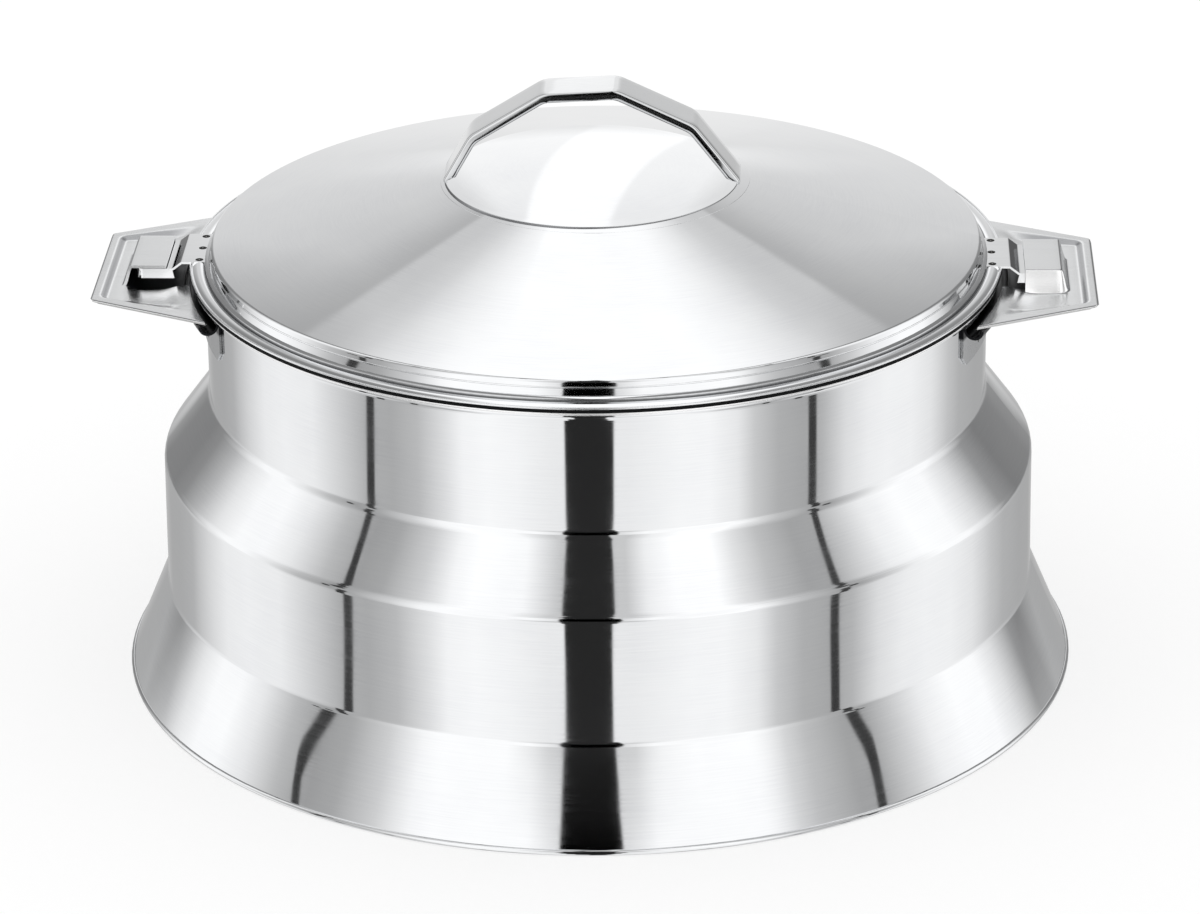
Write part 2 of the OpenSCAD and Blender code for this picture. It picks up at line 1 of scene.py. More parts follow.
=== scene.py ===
# %% [markdown]
# # An insulated casserole in mirror-polished steel
# The real pot is a double wall of spun steel with a twist-lock lid. Everything that shows is
# polished sheet metal, so the picture is made of two things: soft edges on the sheet, and the
# bright and dark areas of the studio that the steel mirrors.
# The steps are: the frame, the helpers, the camera, the studio, the metals, the seal and the
# foam, the pieces that are softer than the CAD can make them, and the soft edges of the tabs.

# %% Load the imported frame
import math
import bmesh
import bpy
from mathutils import Matrix, Vector


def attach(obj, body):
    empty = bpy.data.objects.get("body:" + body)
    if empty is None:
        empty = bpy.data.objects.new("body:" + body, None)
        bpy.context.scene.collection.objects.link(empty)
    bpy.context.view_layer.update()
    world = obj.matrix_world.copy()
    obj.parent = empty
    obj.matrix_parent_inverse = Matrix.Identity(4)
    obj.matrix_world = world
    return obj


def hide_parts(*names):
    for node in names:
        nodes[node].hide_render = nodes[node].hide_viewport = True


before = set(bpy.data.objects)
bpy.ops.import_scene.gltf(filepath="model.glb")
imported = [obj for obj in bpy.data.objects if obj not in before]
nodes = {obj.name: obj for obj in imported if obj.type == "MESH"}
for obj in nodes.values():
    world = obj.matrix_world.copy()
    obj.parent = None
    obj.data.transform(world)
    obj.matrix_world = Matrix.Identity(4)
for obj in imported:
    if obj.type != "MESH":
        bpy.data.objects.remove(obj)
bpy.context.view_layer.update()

mm = 0.001

# %% [markdown]
# ## Helpers
# A colour is picked as a screen hex value, and the shader wants linear light, so one function
# converts. One more adds a shader node with its settings and its inputs. An input is a plain
# value, or the node or socket that feeds it, and a node feeds by its first output in use. Blender
# hides the sockets that a setting leaves unused, so a name only has to match one that shows.

# %% Colours, nodes and objects
def colour(hex_text):
    channels = [int(hex_text[i:i + 2], 16) / 255 for i in (1, 3, 5)]
    linear = [c / 12.92 if c <= 0.04045 else ((c + 0.055) / 1.055) ** 2.4 for c in channels]
    return (*linear, 1.0)


def grey(level):
    """Linear light of a grey that the screen shows as level, from 0 to 255"""
    return colour("#%02x%02x%02x" % (level, level, level))[0]


def add_node(tree, kind, inputs=None, **settings):
    node = tree.nodes.new("ShaderNode" + kind)
    for name, value in settings.items():
        setattr(node, name, value)
    for key, value in (inputs or {}).items():
        socket = node.inputs[key] if isinstance(key, int) else next(
            shown for shown in node.inputs if shown.enabled and shown.name == key)
        if isinstance(value, bpy.types.Node):
            value = next(shown for shown in value.outputs if shown.enabled)
        if isinstance(value, bpy.types.NodeSocket):
            tree.links.new(value, socket)
        else:
            socket.default_value = value
    return node


def ramp_stops(node, stops):
    """Fill a colour ramp with (place, level) pairs, levels as linear light"""
    elements = node.color_ramp.elements
    while len(elements) > 1:
        elements.remove(elements[-1])
    elements[0].position = stops[0][0]
    elements[0].color = (stops[0][1],) * 3 + (1,)
    for place, level in stops[1:]:
        elements.new(place).color = (level,) * 3 + (1,)


def new_material(name):
    material = bpy.data.materials.new(name)
    material.use_nodes = True
    material.node_tree.nodes.clear()
    return material, material.node_tree


def add_object(name, data):
    made = bpy.data.objects.new(name, data)
    bpy.context.scene.collection.objects.link(made)
    return made


print("middle grey is", round(grey(128), 3), "in linear light")

# %% [markdown]
# ## The camera
# The photograph was taken from far away with a long lens, 25 degrees above the table and a
# little to the right of the pot's front, and it is tipped by half a degree.

# %% Camera
picture_w = 1200
focal_px = 5294.2
sensor_w = 36.0
camera_place = Vector((69.8, -1599.0, 756.4)) * mm
camera_aim = Vector((0.6, 0.0, 66.4)) * mm
camera_tip = math.radians(-0.594)

camera_data = bpy.data.cameras.new("camera")
camera_data.sensor_width = sensor_w
camera_data.lens = focal_px / picture_w * sensor_w
camera_data.clip_end = 20
camera = add_object("camera", camera_data)
gaze = (camera_aim - camera_place).to_track_quat("-Z", "Y").to_matrix().to_4x4()
camera.matrix_world = Matrix.Translation(camera_place) @ gaze @ Matrix.Rotation(camera_tip, 4, "Z")
bpy.context.scene.camera = camera
camera_side = math.atan2(camera_place.x, -camera_place.y)
print("lens", round(camera_data.lens, 1), "mm, from", round(math.degrees(camera_side), 2), "degrees right")

# %% [markdown]
# ## The studio
# A mirror has no colour of its own, so the light around the pot is most of the picture. A shiny
# pot is photographed in a light tent: white cloth all round, with a narrow gap where the lens
# looks in. The gap shows as the black stripe down the middle, the two seams of the cloth as thin
# dark lines, and the unlit corners as the soft greys in between. Here the tent is a cylinder of
# cloth 0.9 m from the axis, so near pieces mirror the right part of it. Its glow is painted by
# two angles: degrees to the right of the camera, and degrees up from a point 100 mm above the
# table. Only mirrored rays see it. The world is an even white for the rest.

# %% Angles on the tent
tent_radius = 0.9
tent_low = -1.6
tent_high = 3.0
angle_from = 100 * mm

glow, cloth = new_material("tent_cloth")
place = add_node(cloth, "TexCoord").outputs["Object"]
parts = add_node(cloth, "SeparateXYZ", {"Vector": place}).outputs
forward = add_node(cloth, "Math", {0: parts["Y"], 1: -1}, operation="MULTIPLY")
side_angle = add_node(cloth, "Math", {0: parts["X"], 1: forward}, operation="ARCTAN2")
away_angle = add_node(cloth, "Math", {0: side_angle}, operation="ABSOLUTE")
leftward = add_node(cloth, "Math", {0: parts["X"], 1: -1}, operation="MULTIPLY")
angle_behind = add_node(cloth, "Math", {0: leftward, 1: parts["Y"]}, operation="ARCTAN2")
flat = add_node(cloth, "CombineXYZ", {"X": parts["X"], "Y": parts["Y"]})
reach = add_node(cloth, "VectorMath", {0: flat}, operation="LENGTH")
rise = add_node(cloth, "Math", {0: parts["Z"], 1: angle_from}, operation="SUBTRACT")
rise_angle = add_node(cloth, "Math", {0: rise, 1: reach}, operation="ARCTAN2")
print("tent", 2 * tent_radius, "m across")

# %% [markdown]
# The glow is written as the grey that polished steel shows where it mirrors that part of the
# cloth. The steel gives back a fixed share of the light, so the cloth glows that much brighter.
# Each list goes by degrees, to the right of the camera or up, and a colour ramp joins its levels.

# %% Light levels
# Low on the tent, which the neck and drum mirror, the light has passed the table and lost a little
low_levels = [
    (-180, 185), (-160, 172), (-150, 160), (-138, 163), (-128, 172), (-118, 207), (-108, 232),
    (-98, 238), (-86, 234), (-76, 207), (-66, 172), (-58, 168), (-50, 184), (-42, 220), (-37, 242),
    (-30, 247), (-22, 243), (-12, 232), (8, 232), (22, 244), (30, 245), (38, 230), (43, 198),
    (50, 173), (58, 164), (64, 178), (72, 219), (80, 235), (88, 240), (98, 238), (108, 225),
    (118, 191), (126, 172), (140, 162), (152, 159), (160, 172), (180, 185),
]
# Higher up, which the shoulder and the flared foot mirror, the far corners are darker
high_levels = [
    (-180, 150), (-152, 150), (-144, 128), (-132, 126), (-126, 136), (-118, 178), (-110, 225),
    (-102, 249), (-94, 250), (-86, 231), (-76, 184), (-67, 155), (-60, 165), (-50, 205), (-42, 245),
    (-36, 255), (-22, 250), (-12, 199), (8, 198), (14, 238), (22, 255), (34, 255), (40, 225),
    (48, 189), (58, 161), (64, 163), (72, 203), (80, 237), (90, 253), (100, 250), (108, 220),
    (118, 146), (126, 122), (140, 128), (152, 147), (180, 147),
]
# In between, in front only, which the upright wall of the lid mirrors
lip_levels = [(-45, 245), (-38, 252), (-16, 252), (-9, 224), (6, 224), (12, 250), (36, 252), (45, 245)]
# Behind the pot by degrees up, which the lid's cone and the flat plates mirror
back_levels = [
    (-12, 222), (-8, 220), (0, 214), (5, 211), (12, 208), (18, 206), (25, 203), (29, 199), (32, 197),
    (35, 191), (38, 182), (40.7, 173), (41.3, 197), (44, 197), (46.5, 206), (49.5, 231), (52, 248),
    (54, 255), (90, 255),
]
# A bright panel straight behind, as a share of white by degrees away from the camera's side
panel_shares = [(0, 0), (160, 0), (165.5, 0.0392), (168.5, 0.2745), (171, 0.6588), (180, 0.698)]


def over_angle(angle, levels, convert=grey):
    """A value that follows (degrees, level) pairs over an angle on the tent"""
    low, high = levels[0][0], levels[-1][0]
    way = add_node(cloth, "MapRange", {
        "Value": angle, "From Min": math.radians(low), "From Max": math.radians(high)})
    ramp = add_node(cloth, "ValToRGB", {"Fac": way})
    ramp_stops(ramp, [((degrees - low) / (high - low), convert(level)) for degrees, level in levels])
    return ramp


def all_round(levels):
    """A longer list in two halves, because one ramp holds at most 32 stops"""
    half = len(levels) // 2
    halfway = math.radians(levels[half][0])
    past = add_node(cloth, "Math", {0: side_angle, 1: halfway}, operation="GREATER_THAN")
    first = over_angle(side_angle, levels[:half + 1])
    second = over_angle(side_angle, levels[half:])
    return add_node(cloth, "Mix", {"Factor": past, "A": first, "B": second})


print("levels:", len(low_levels), "low,", len(high_levels), "high,", len(back_levels), "behind")

# %% [markdown]
# The crown disc shows a slanting bright band, which is a strip of lit cloth that leans across the
# back of the tent. Its middle moves sideways and its width grows with the degrees up.

# %% Band behind
band_from = 24
band_slant = 0.1735
band_middle = 0.15
band_half = 4.4
band_growth = 0.05
band_soft = 0.8

above_band = add_node(cloth, "Math", {0: rise_angle, 1: math.radians(band_from)}, operation="SUBTRACT")
slant = add_node(cloth, "Math", {0: above_band, 1: band_slant}, operation="MULTIPLY")
growth = add_node(cloth, "Math", {0: above_band, 1: band_growth}, operation="MULTIPLY")
half_band = add_node(cloth, "Math", {0: growth, 1: math.radians(band_half)}, operation="ADD")
from_slant = add_node(cloth, "Math", {0: slant, 1: angle_behind}, operation="SUBTRACT")
off_band = add_node(cloth, "Math", {0: from_slant, 1: math.radians(band_middle)}, operation="SUBTRACT")
beside_band = add_node(cloth, "Math", {0: off_band}, operation="ABSOLUTE")
in_band = add_node(cloth, "Math", {0: half_band, 1: beside_band}, operation="SUBTRACT")
band = add_node(cloth, "MapRange", {
    "Value": in_band, "From Min": -math.radians(band_soft), "From Max": math.radians(band_soft)})
print("band", 2 * band_half, "degrees wide at", band_from, "degrees up")

# %% [markdown]
# The rings of light are now laid over one another: the high ring, the back of the tent with its
# panel and band, the part in front that the lid's lip mirrors, and the low ring below them all.

# %% Rings of light
back_from = [(150, 0), (158, 1)]
panel_fade = [(4, 0.08), (12, 1)]
lip_sides = [(34, 1), (43, 0)]
lip_rises = [(-10, 0), (-7, 1), (9, 1), (13, 0)]
low_to_high = [(-16, 0), (-11, 1)]

panel = over_angle(away_angle, panel_shares, float)
brightest = add_node(cloth, "Math", {0: panel, 1: band}, operation="MAXIMUM")
faded = over_angle(rise_angle, panel_fade, float)
lit_share = add_node(cloth, "Math", {0: brightest, 1: faded}, operation="MULTIPLY")
back = add_node(cloth, "Mix", {"Factor": lit_share, "A": over_angle(rise_angle, back_levels), "B": 1.0})
is_behind = over_angle(away_angle, back_from, float)
upper = add_node(cloth, "Mix", {"Factor": is_behind, "A": all_round(high_levels), "B": back})
at_lip = over_angle(rise_angle, lip_rises, float)
in_front = over_angle(away_angle, lip_sides, float)
lip_share = add_node(cloth, "Math", {0: in_front, 1: at_lip}, operation="MULTIPLY")
upper = add_node(cloth, "Mix", {"Factor": lip_share, "A": upper, "B": over_angle(side_angle, lip_levels)})
above_low = over_angle(rise_angle, low_to_high, float)
glow_level = add_node(cloth, "Mix", {"Factor": above_low, "A": all_round(low_levels), "B": upper})
print("low ring up to", low_to_high[0][0], "degrees, high ring from", low_to_high[1][0])

# %% [markdown]
# The gap and the seams aren't quite upright, so each follows a short curve up the cloth.

# %% Gap and seams
# Degrees up, and degrees to the left or right of the camera
gap_middles = [(-26, 2.7), (-22, 2.7), (-21, 2.4), (-5, 2.1), (8, 2.2), (14, 2.8), (44, 3.1), (60, 3.1)]
gap_halves = [(-26, 5.6), (-22, 5.6), (-21, 6.4), (-5, 7.3), (8, 7.0), (14, 5.5), (44, 7.4), (60, 7.6)]
left_seam = [(-26, 64.2), (-22.5, 63.5), (-21.5, 65.4), (-19, 64.8), (-4, 62), (2.6, 71), (7.5, 62.7),
             (31, 68.8), (33, 70.8), (60, 75)]
right_seam = [(-26, 59), (-22.5, 58.7), (-21.5, 60.8), (-19, 60.7), (-4, 59), (4.4, 63.6), (8.3, 57.9),
              (32.7, 64.8), (34.4, 66.5), (60, 72)]
seam_halves = [(-26, 1.3), (60, 1.3)]
edge_soft = 0.25
gap_level = 38
seam_level = 56
# Share of the light that the polished steel gives back
steel_share = 0.8


def curve_up(places):
    """An angle in radians that follows (degrees up, degrees to the side) pairs"""
    share = over_angle(rise_angle, [(degrees, place / 90) for degrees, place in places], float)
    return add_node(cloth, "Math", {0: share, 1: math.radians(90)}, operation="MULTIPLY")


def mark(middles, halves, way):
    """How far, from 0 to 1, a place is inside a dark mark, to the left (ADD) or right (SUBTRACT)"""
    offset = add_node(cloth, "Math", {0: side_angle, 1: curve_up(middles)}, operation=way)
    beside = add_node(cloth, "Math", {0: offset}, operation="ABSOLUTE")
    inside = add_node(cloth, "Math", {0: curve_up(halves), 1: beside}, operation="SUBTRACT")
    return add_node(cloth, "MapRange", {
        "Value": inside, "From Min": -math.radians(edge_soft), "From Max": math.radians(edge_soft)})


# Where the lid's lip mirrors the gap, it is quite black
gap_grey = add_node(cloth, "Mix", {"Factor": at_lip, "A": grey(gap_level), "B": 0.0})
for middles, halves, way, tone in ((left_seam, seam_halves, "ADD", grey(seam_level)),
                                   (right_seam, seam_halves, "SUBTRACT", grey(seam_level)),
                                   (gap_middles, gap_halves, "ADD", gap_grey)):
    dark = mark(middles, halves, way)
    glow_level = add_node(cloth, "Mix", {"Factor": dark, "A": glow_level, "B": tone})
strength = add_node(cloth, "Math", {0: glow_level, 1: steel_share}, operation="DIVIDE")
emission = add_node(cloth, "Emission", {"Color": (1, 1, 1, 1), "Strength": strength})
add_node(cloth, "OutputMaterial", {"Surface": emission})
glow.cycles.emission_sampling = "NONE"
print("gap", round(2 * math.radians(gap_halves[0][1]) * tent_radius / mm), "mm wide")

# %% [markdown]
# The tent itself is a plain cylinder with closed ends, turned to the camera's side. It is hidden
# from the camera and from soft light, so that only the steel's mirrored rays meet it.

# %% Tent
tent_mesh = bpy.data.meshes.new("tent")
build = bmesh.new()
bmesh.ops.create_cone(build, cap_ends=True, segments=96, radius1=tent_radius, radius2=tent_radius,
                      depth=tent_high - tent_low)
bmesh.ops.translate(build, verts=build.verts, vec=(0, 0, (tent_high + tent_low) / 2))
build.to_mesh(tent_mesh)
build.free()
tent_mesh.materials.append(glow)
tent = add_object("tent", tent_mesh)
tent.rotation_euler.z = camera_side
tent.visible_camera = False
tent.visible_diffuse = False
tent.visible_transmission = False
tent.visible_volume_scatter = False
tent.visible_shadow = False
print("tent faces:", len(tent_mesh.polygons))

# %% [markdown]
# The white behind the pot is the world. To the camera its strength is 1, which is plain white.
# The light that it gives the table is a little stronger.

# %% White world
even_light = 1.08
world = bpy.data.worlds.new("studio")
bpy.context.scene.world = world
world.use_nodes = True
sky = world.node_tree
sky.nodes.clear()
seen = add_node(sky, "LightPath").outputs["Is Camera Ray"]
light = add_node(sky, "Mix", {"Factor": seen, "A": even_light, "B": 1.0})
background = add_node(sky, "Background", {"Color": (1, 1, 1, 1), "Strength": light})
add_node(sky, "OutputWorld", {"Surface": background})
bpy.context.scene.view_settings.view_transform = "Standard"
print("world strength", even_light)

# %% [markdown]
# The table is a wide sheet of white paper, which is matt and catches the soft shadow under the
# pot. The steel mirrors the tent in its place, so mirrored rays pass through it. To the camera
# the paper also glows a little, which keeps its shadow light.

# %% Table
table_half = 6.0
paper_glow = 0.55
table_mesh = bpy.data.meshes.new("table")
table_mesh.from_pydata(
    [(-table_half, -table_half, 0), (table_half, -table_half, 0), (table_half, table_half, 0),
     (-table_half, table_half, 0)], [], [(0, 1, 2, 3)])
table = add_object("table", table_mesh)
table.visible_glossy = False

paper, tree = new_material("white_paper")
sheet = add_node(tree, "BsdfPrincipled", {"Base Color": colour("#fdfdfd"), "Roughness": 0.9})
lit_paper = add_node(tree, "Emission", {"Color": (1, 1, 1, 1), "Strength": 1.0})
seen = add_node(tree, "LightPath").outputs["Is Camera Ray"]
glow_share = add_node(tree, "Math", {0: seen, 1: paper_glow}, operation="MULTIPLY")
mixed = add_node(tree, "MixShader", {0: glow_share, 1: sheet, 2: lit_paper})
add_node(tree, "OutputMaterial", {"Surface": mixed})
table_mesh.materials.append(paper)
print("table", 2 * table_half, "m wide")

# %% [markdown]
# ## The mirror-polished steel
# The walls, the lid and the crown disc are stainless steel sheet, spun or pressed over a former
# and then buffed with a cloth wheel while they turn. That leaves a mirror with very faint lines
# around the axis and soft clouds of haze, where the wheel lingered. The lines are made in the
# pot's own round coordinates: distance from the axis, height and angle. Noise in those, squeezed
# along the angle, runs out into rings. Flat pieces are polished in straight strokes, so theirs
# are the plain coordinates, with the third axis along the pot's left to right.

# %% Round and straight coordinates
def round_coordinates(tree):
    """Object coordinates as (distance from the axis, height, angle in radians)"""
    place = add_node(tree, "TexCoord").outputs["Object"]
    parts = add_node(tree, "SeparateXYZ", {"Vector": place}).outputs
    flat = add_node(tree, "CombineXYZ", {"X": parts["X"], "Y": parts["Y"]})
    radius = add_node(tree, "VectorMath", {0: flat}, operation="LENGTH")
    angle = add_node(tree, "Math", {0: parts["Y"], 1: parts["X"]}, operation="ARCTAN2")
    return add_node(tree, "CombineXYZ", {"X": radius, "Y": parts["Z"], "Z": angle})


def straight_coordinates(tree):
    place = add_node(tree, "TexCoord").outputs["Object"]
    parts = add_node(tree, "SeparateXYZ", {"Vector": place}).outputs
    return add_node(tree, "CombineXYZ", {"X": parts["Y"], "Y": parts["Z"], "Z": parts["X"]})


def finish(tree, inputs):
    """The surface of a material, with its output"""
    shader = add_node(tree, "BsdfPrincipled", inputs)
    add_node(tree, "OutputMaterial", {"Surface": shader})
    return shader


print("coordinates: around the pot, and along it")

# %% [markdown]
# One function makes every steel of the pot. A metal's colour is its mirror's tint, so a polished
# one is nearly white. Haze makes a place both duller and rougher. Real buff lines are near 0.05 mm
# apart, too fine to show from 1.7 m, so the spun steel's are 0.5 mm, and so shallow that they only
# draw the mirror's edges out a little.

# %% Steel
haze_pitch = 22 * mm
haze_low = 0.1
haze_high = 0.45


def steel(name, bright, dull, coordinates, shine, haze, line_pitch, line_depth, along=0.004):
    """Steel with lines along the third axis of its coordinates, squeezed by along, and with haze"""
    material, tree = new_material(name)
    vector = coordinates(tree)
    squeezed = add_node(tree, "VectorMath", {0: vector, 1: (1, 1, along)}, operation="MULTIPLY")
    lines = add_node(tree, "TexNoise", {
        "Vector": squeezed, "Scale": 1 / line_pitch, "Detail": 3.0, "Roughness": 0.6})
    place = add_node(tree, "TexCoord").outputs["Object"]
    clouds = add_node(tree, "TexNoise", {"Vector": place, "Scale": 1 / haze_pitch, "Detail": 3.0})
    both = add_node(tree, "Math", {0: lines, 1: clouds}, operation="MULTIPLY")
    hazy = add_node(tree, "MapRange", {"Value": both, "From Min": haze_low, "From Max": haze_high})
    tone = add_node(tree, "Mix", {"Factor": hazy, "A": colour(bright), "B": colour(dull)}, data_type="RGBA")
    rough = add_node(tree, "MapRange", {"Value": hazy, "To Min": shine, "To Max": haze})
    bump = add_node(tree, "Bump", {"Height": lines, "Distance": line_depth})
    shader = finish(tree, {"Metallic": 1.0, "Base Color": tone, "Roughness": rough, "Normal": bump})
    return material, tree, shader, vector


spun = dict(bright="#e9eaeb", dull="#e3e4e6", coordinates=round_coordinates, shine=0.03, haze=0.08,
            line_pitch=0.5 * mm, line_depth=0.00002 * mm)
spun_mirror = steel("spun_mirror_steel", **spun)[0]
print("buff lines", spun["line_pitch"] / mm, "mm apart")

# %% [markdown]
# The lid's skin is the same steel. A narrow groove runs around it where the lip wall meets the
# flat flange ring. The groove gets painted shade, a dull dark colour that draws it as a dark line,
# and the hem at the lid's edge is only brushed. The distance from the axis tells the shader where
# they are. One helper gives the share of the way out or up, and one lays another tone or roughness
# over the finish by such a share.

# %% Lid steel
groove_r = 126.62 * mm
groove_half = 0.3 * mm
groove_soft = 0.08 * mm
groove_in = groove_r - groove_half
groove_out = groove_r + groove_half
hem_r = 130.45 * mm
hem_soft = 0.15 * mm


def way_along(tree, vector, axis, low, high):
    """The share, from 0 to 1, of the way from low to high: out from the axis (X) or up (Y)"""
    part = add_node(tree, "SeparateXYZ", {"Vector": vector}).outputs[axis]
    return add_node(tree, "MapRange", {"Value": part, "From Min": low, "From Max": high})


def lay_over(tree, shader, share, tone, roughness):
    """Change a finish as share goes from 0 to 1. A tone or roughness of None stays as it is."""
    # Of the Mix node's outputs, 0 is the number and 2 the colour
    if tone is not None:
        before = shader.inputs["Base Color"].links[0].from_node
        mixed = add_node(tree, "Mix", {"Factor": share, "A": before, "B": colour(tone)}, data_type="RGBA")
        tree.links.new(mixed.outputs[2], shader.inputs["Base Color"])
    if roughness is not None:
        before = shader.inputs["Roughness"].links[0].from_node
        mixed = add_node(tree, "Mix", {"Factor": share, "A": before, "B": roughness})
        tree.links.new(mixed.outputs[0], shader.inputs["Roughness"])


lid_steel, tree, shader, vector = steel("spun_lid_steel", **spun)
past_inner = way_along(tree, vector, "X", groove_in - groove_soft, groove_in + groove_soft)
before_outer = way_along(tree, vector, "X", groove_out + groove_soft, groove_out - groove_soft)
groove_shade = add_node(tree, "Math", {0: past_inner, 1: before_outer}, operation="MULTIPLY")
# Painted shade: a dull dark colour over the groove
lay_over(tree, shader, groove_shade, "#6f7072", 0.3)
on_hem = way_along(tree, vector, "X", hem_r - hem_soft, hem_r + hem_soft)
lay_over(tree, shader, on_hem, None, 0.25)
print("groove", round(2 * groove_half / mm, 1), "mm wide")

# %% [markdown]
# ## The pressed steel
# The handle plates, the lock tabs and their turned-down lips are stamped from flat sheet and
# polished by hand on a wheel. Straight marks run along them. The broad plates come out softer
# than the spun walls. The small tabs, which a wheel reaches all over, come out nearly as bright.
# The pressed slopes and the tab's step get painted shade, a darker colour laid on by the way they
# face, and the edges and walls that face the front get a painted highlight, a near-white colour.
# The direction that the sheet faces in the pot's own frame tells the shader which is which.

# %% Pressed steel
def paint_by_facing(tree, shader, axis, stops, tone, roughness=None):
    """Paint light or shade into a finish by how squarely the sheet faces along one axis of the pot's frame"""
    faces = add_node(tree, "TexCoord").outputs["Normal"]
    part = add_node(tree, "SeparateXYZ", {"Vector": faces}).outputs[axis]
    squarely = add_node(tree, "Math", {0: part}, operation="ABSOLUTE")
    ramp = add_node(tree, "ValToRGB", {"Fac": squarely})
    ramp_stops(ramp, stops)
    lay_over(tree, shader, ramp, tone, roughness)


hand_polished = dict(coordinates=straight_coordinates, line_pitch=0.4 * mm, along=0.02)
pressed_steel, tree, shader, vector = steel(
    "pressed_steel", "#e6e7e8", "#dbdcdd", shine=0.2, haze=0.28, line_depth=0.00002 * mm, **hand_polished)
# Painted shade on the pressed slopes, and a painted highlight on the sheet that faces the front
paint_by_facing(tree, shader, "Z", [(0, 0), (0.62, 0), (0.75, 1), (0.93, 1), (0.975, 0), (1, 0)], "#a0a1a3")
paint_by_facing(tree, shader, "Y", [(0, 0), (0.45, 0), (0.65, 1), (1, 1)], "#fdfdfd")
tab_steel, tree, shader, vector = steel(
    "buffed_tab_steel", "#e6e7e8", "#dcddde", shine=0.06, haze=0.10, line_depth=0.00003 * mm, **hand_polished)
# Painted shade on the tab's step, and a painted highlight on the lips and walls that face the front
paint_by_facing(tree, shader, "X", [(0, 0), (0.3, 0), (0.5, 1), (0.8, 1), (0.95, 0), (1, 0)], "#505153")
paint_by_facing(tree, shader, "Y", [(0, 0), (0.6, 0), (0.85, 1), (1, 1)], "#ffffff")
print("pressed steel: marks", hand_polished["line_pitch"] / mm, "mm apart")

# %% [markdown]
# The crown disc is spun and buffed like the walls. Its steep rolled edge gets painted shade, a grey
# that stands for the thin shadow line under the disc's edge.

# %% Crown steel
crown_steel, tree, shader, vector = steel("spun_crown_steel", **spun)
# Painted shade: the steep rolled edge turns grey, for the shadow line under the disc's edge
paint_by_facing(tree, shader, "Z", [(0, 1), (0.5, 1), (0.85, 0), (1, 0)], "#8a8b8d", 0.35)
print("crown disc: grey edge")

# %% [markdown]
# The strap is polished with a fine belt before it is bent. The belt leaves straight marks along
# it, and its shine is a little softer and greyer than that of the spun walls.

# %% Strap steel
belt_pitch = 0.35 * mm
strap_steel = steel("belt_polished_strap", "#dadbdc", "#d0d1d2", straight_coordinates, shine=0.05, haze=0.11,
                    line_pitch=belt_pitch, line_depth=0.00004 * mm, along=0.03)[0]
print("strap: marks", round(belt_pitch / mm, 2), "mm apart")

# %% [markdown]
# ## The satin steel
# Inside, the bowl and the lid's liner keep the satin face of a scouring wheel, because food
# scratches a mirror. The base plate has it too. Only the bowl's rolled rim bead, which shows from
# outside, is buffed bright.

# %% Satin steel
scoured = dict(coordinates=round_coordinates, line_pitch=0.45 * mm, along=0.01)
bead_inner = 129.2 * mm
bead_soft = 0.5 * mm
satin_steel = steel("satin_steel", "#d4d5d6", "#c2c3c5", shine=0.24, haze=0.38, line_depth=0.0006 * mm,
                    **scoured)[0]
bowl_steel, tree, shader, vector = steel(
    "satin_bowl_steel", "#d9dadb", "#cbccce", shine=0.24, haze=0.36, line_depth=0.0003 * mm, **scoured)
on_bead = way_along(tree, vector, "X", bead_inner - bead_soft, bead_inner + bead_soft)
lay_over(tree, shader, on_bead, "#fbfbfb", 0.3)
print("bright bead from radius", round(bead_inner / mm, 1), "mm")

# %% [markdown]
# ## The brackets' steel
# The brackets under the handles are left as they come from the rolling mill: dull. The gutter and
# the pocket get painted shade, a near-black colour above a height. The flange below is wiped bright.

# %% Bracket steel
gutter_shade_low = 127.5 * mm
gutter_shade_high = 128.6 * mm
bracket_steel, tree, shader, vector = steel(
    "mill_finish_bracket", "#d0d1d2", "#bfc0c2", shine=0.2, haze=0.3, line_depth=0.00004 * mm, **scoured)
# Painted shade: a near-black colour over the gutter and the pocket, from this height up
lay_over(tree, shader, way_along(tree, vector, "Y", gutter_shade_low, gutter_shade_high), "#232426", 0.3)
print("brackets dark from", round(gutter_shade_high / mm, 1), "mm up")

# %% [markdown]
# ## The weld marks
# A spot weld squeezes the sheets between two copper tips. It leaves a shallow round dimple with a
# grey face and a faint straw tint from the heat. The tint follows fine noise.

# %% Weld marks
grain_low = 0.3
grain_high = 0.7


def grained(tree, pitch, depth, smooth, rough, breaking=0.65):
    """Fine grain, the roughness that follows it, and its bump"""
    place = add_node(tree, "TexCoord").outputs["Object"]
    grain = add_node(tree, "TexNoise", {
        "Vector": place, "Scale": 1 / pitch, "Detail": 4.0, "Roughness": breaking})
    roughness = add_node(tree, "MapRange", {
        "Value": grain, "From Min": grain_low, "From Max": grain_high, "To Min": smooth, "To Max": rough})
    bump = add_node(tree, "Bump", {"Height": grain, "Distance": depth})
    return grain, roughness, bump


weld_grain = 0.6 * mm
weld_steel, tree = new_material("spot_weld_steel")
grain, roughness, bump = grained(tree, weld_grain, 0.02 * mm, 0.25, 0.42)
straw = add_node(tree, "MapRange", {"Value": grain, "From Min": grain_low, "From Max": grain_high})
tint = add_node(tree, "Mix", {
    "Factor": straw, "A": colour("#a9a8a4"), "B": colour("#8f8d88")}, data_type="RGBA")
finish(tree, {"Metallic": 1.0, "Base Color": tint, "Roughness": roughness, "Normal": bump})
print("weld marks: grain", weld_grain / mm, "mm")

# %% [markdown]
# On the lock tabs the marks face up into the light. Each has a burnt dark rim around a paler
# face. The rim follows the distance from the nearest weld's middle: the three sit in a row
# across the tab, 10.5 mm apart.

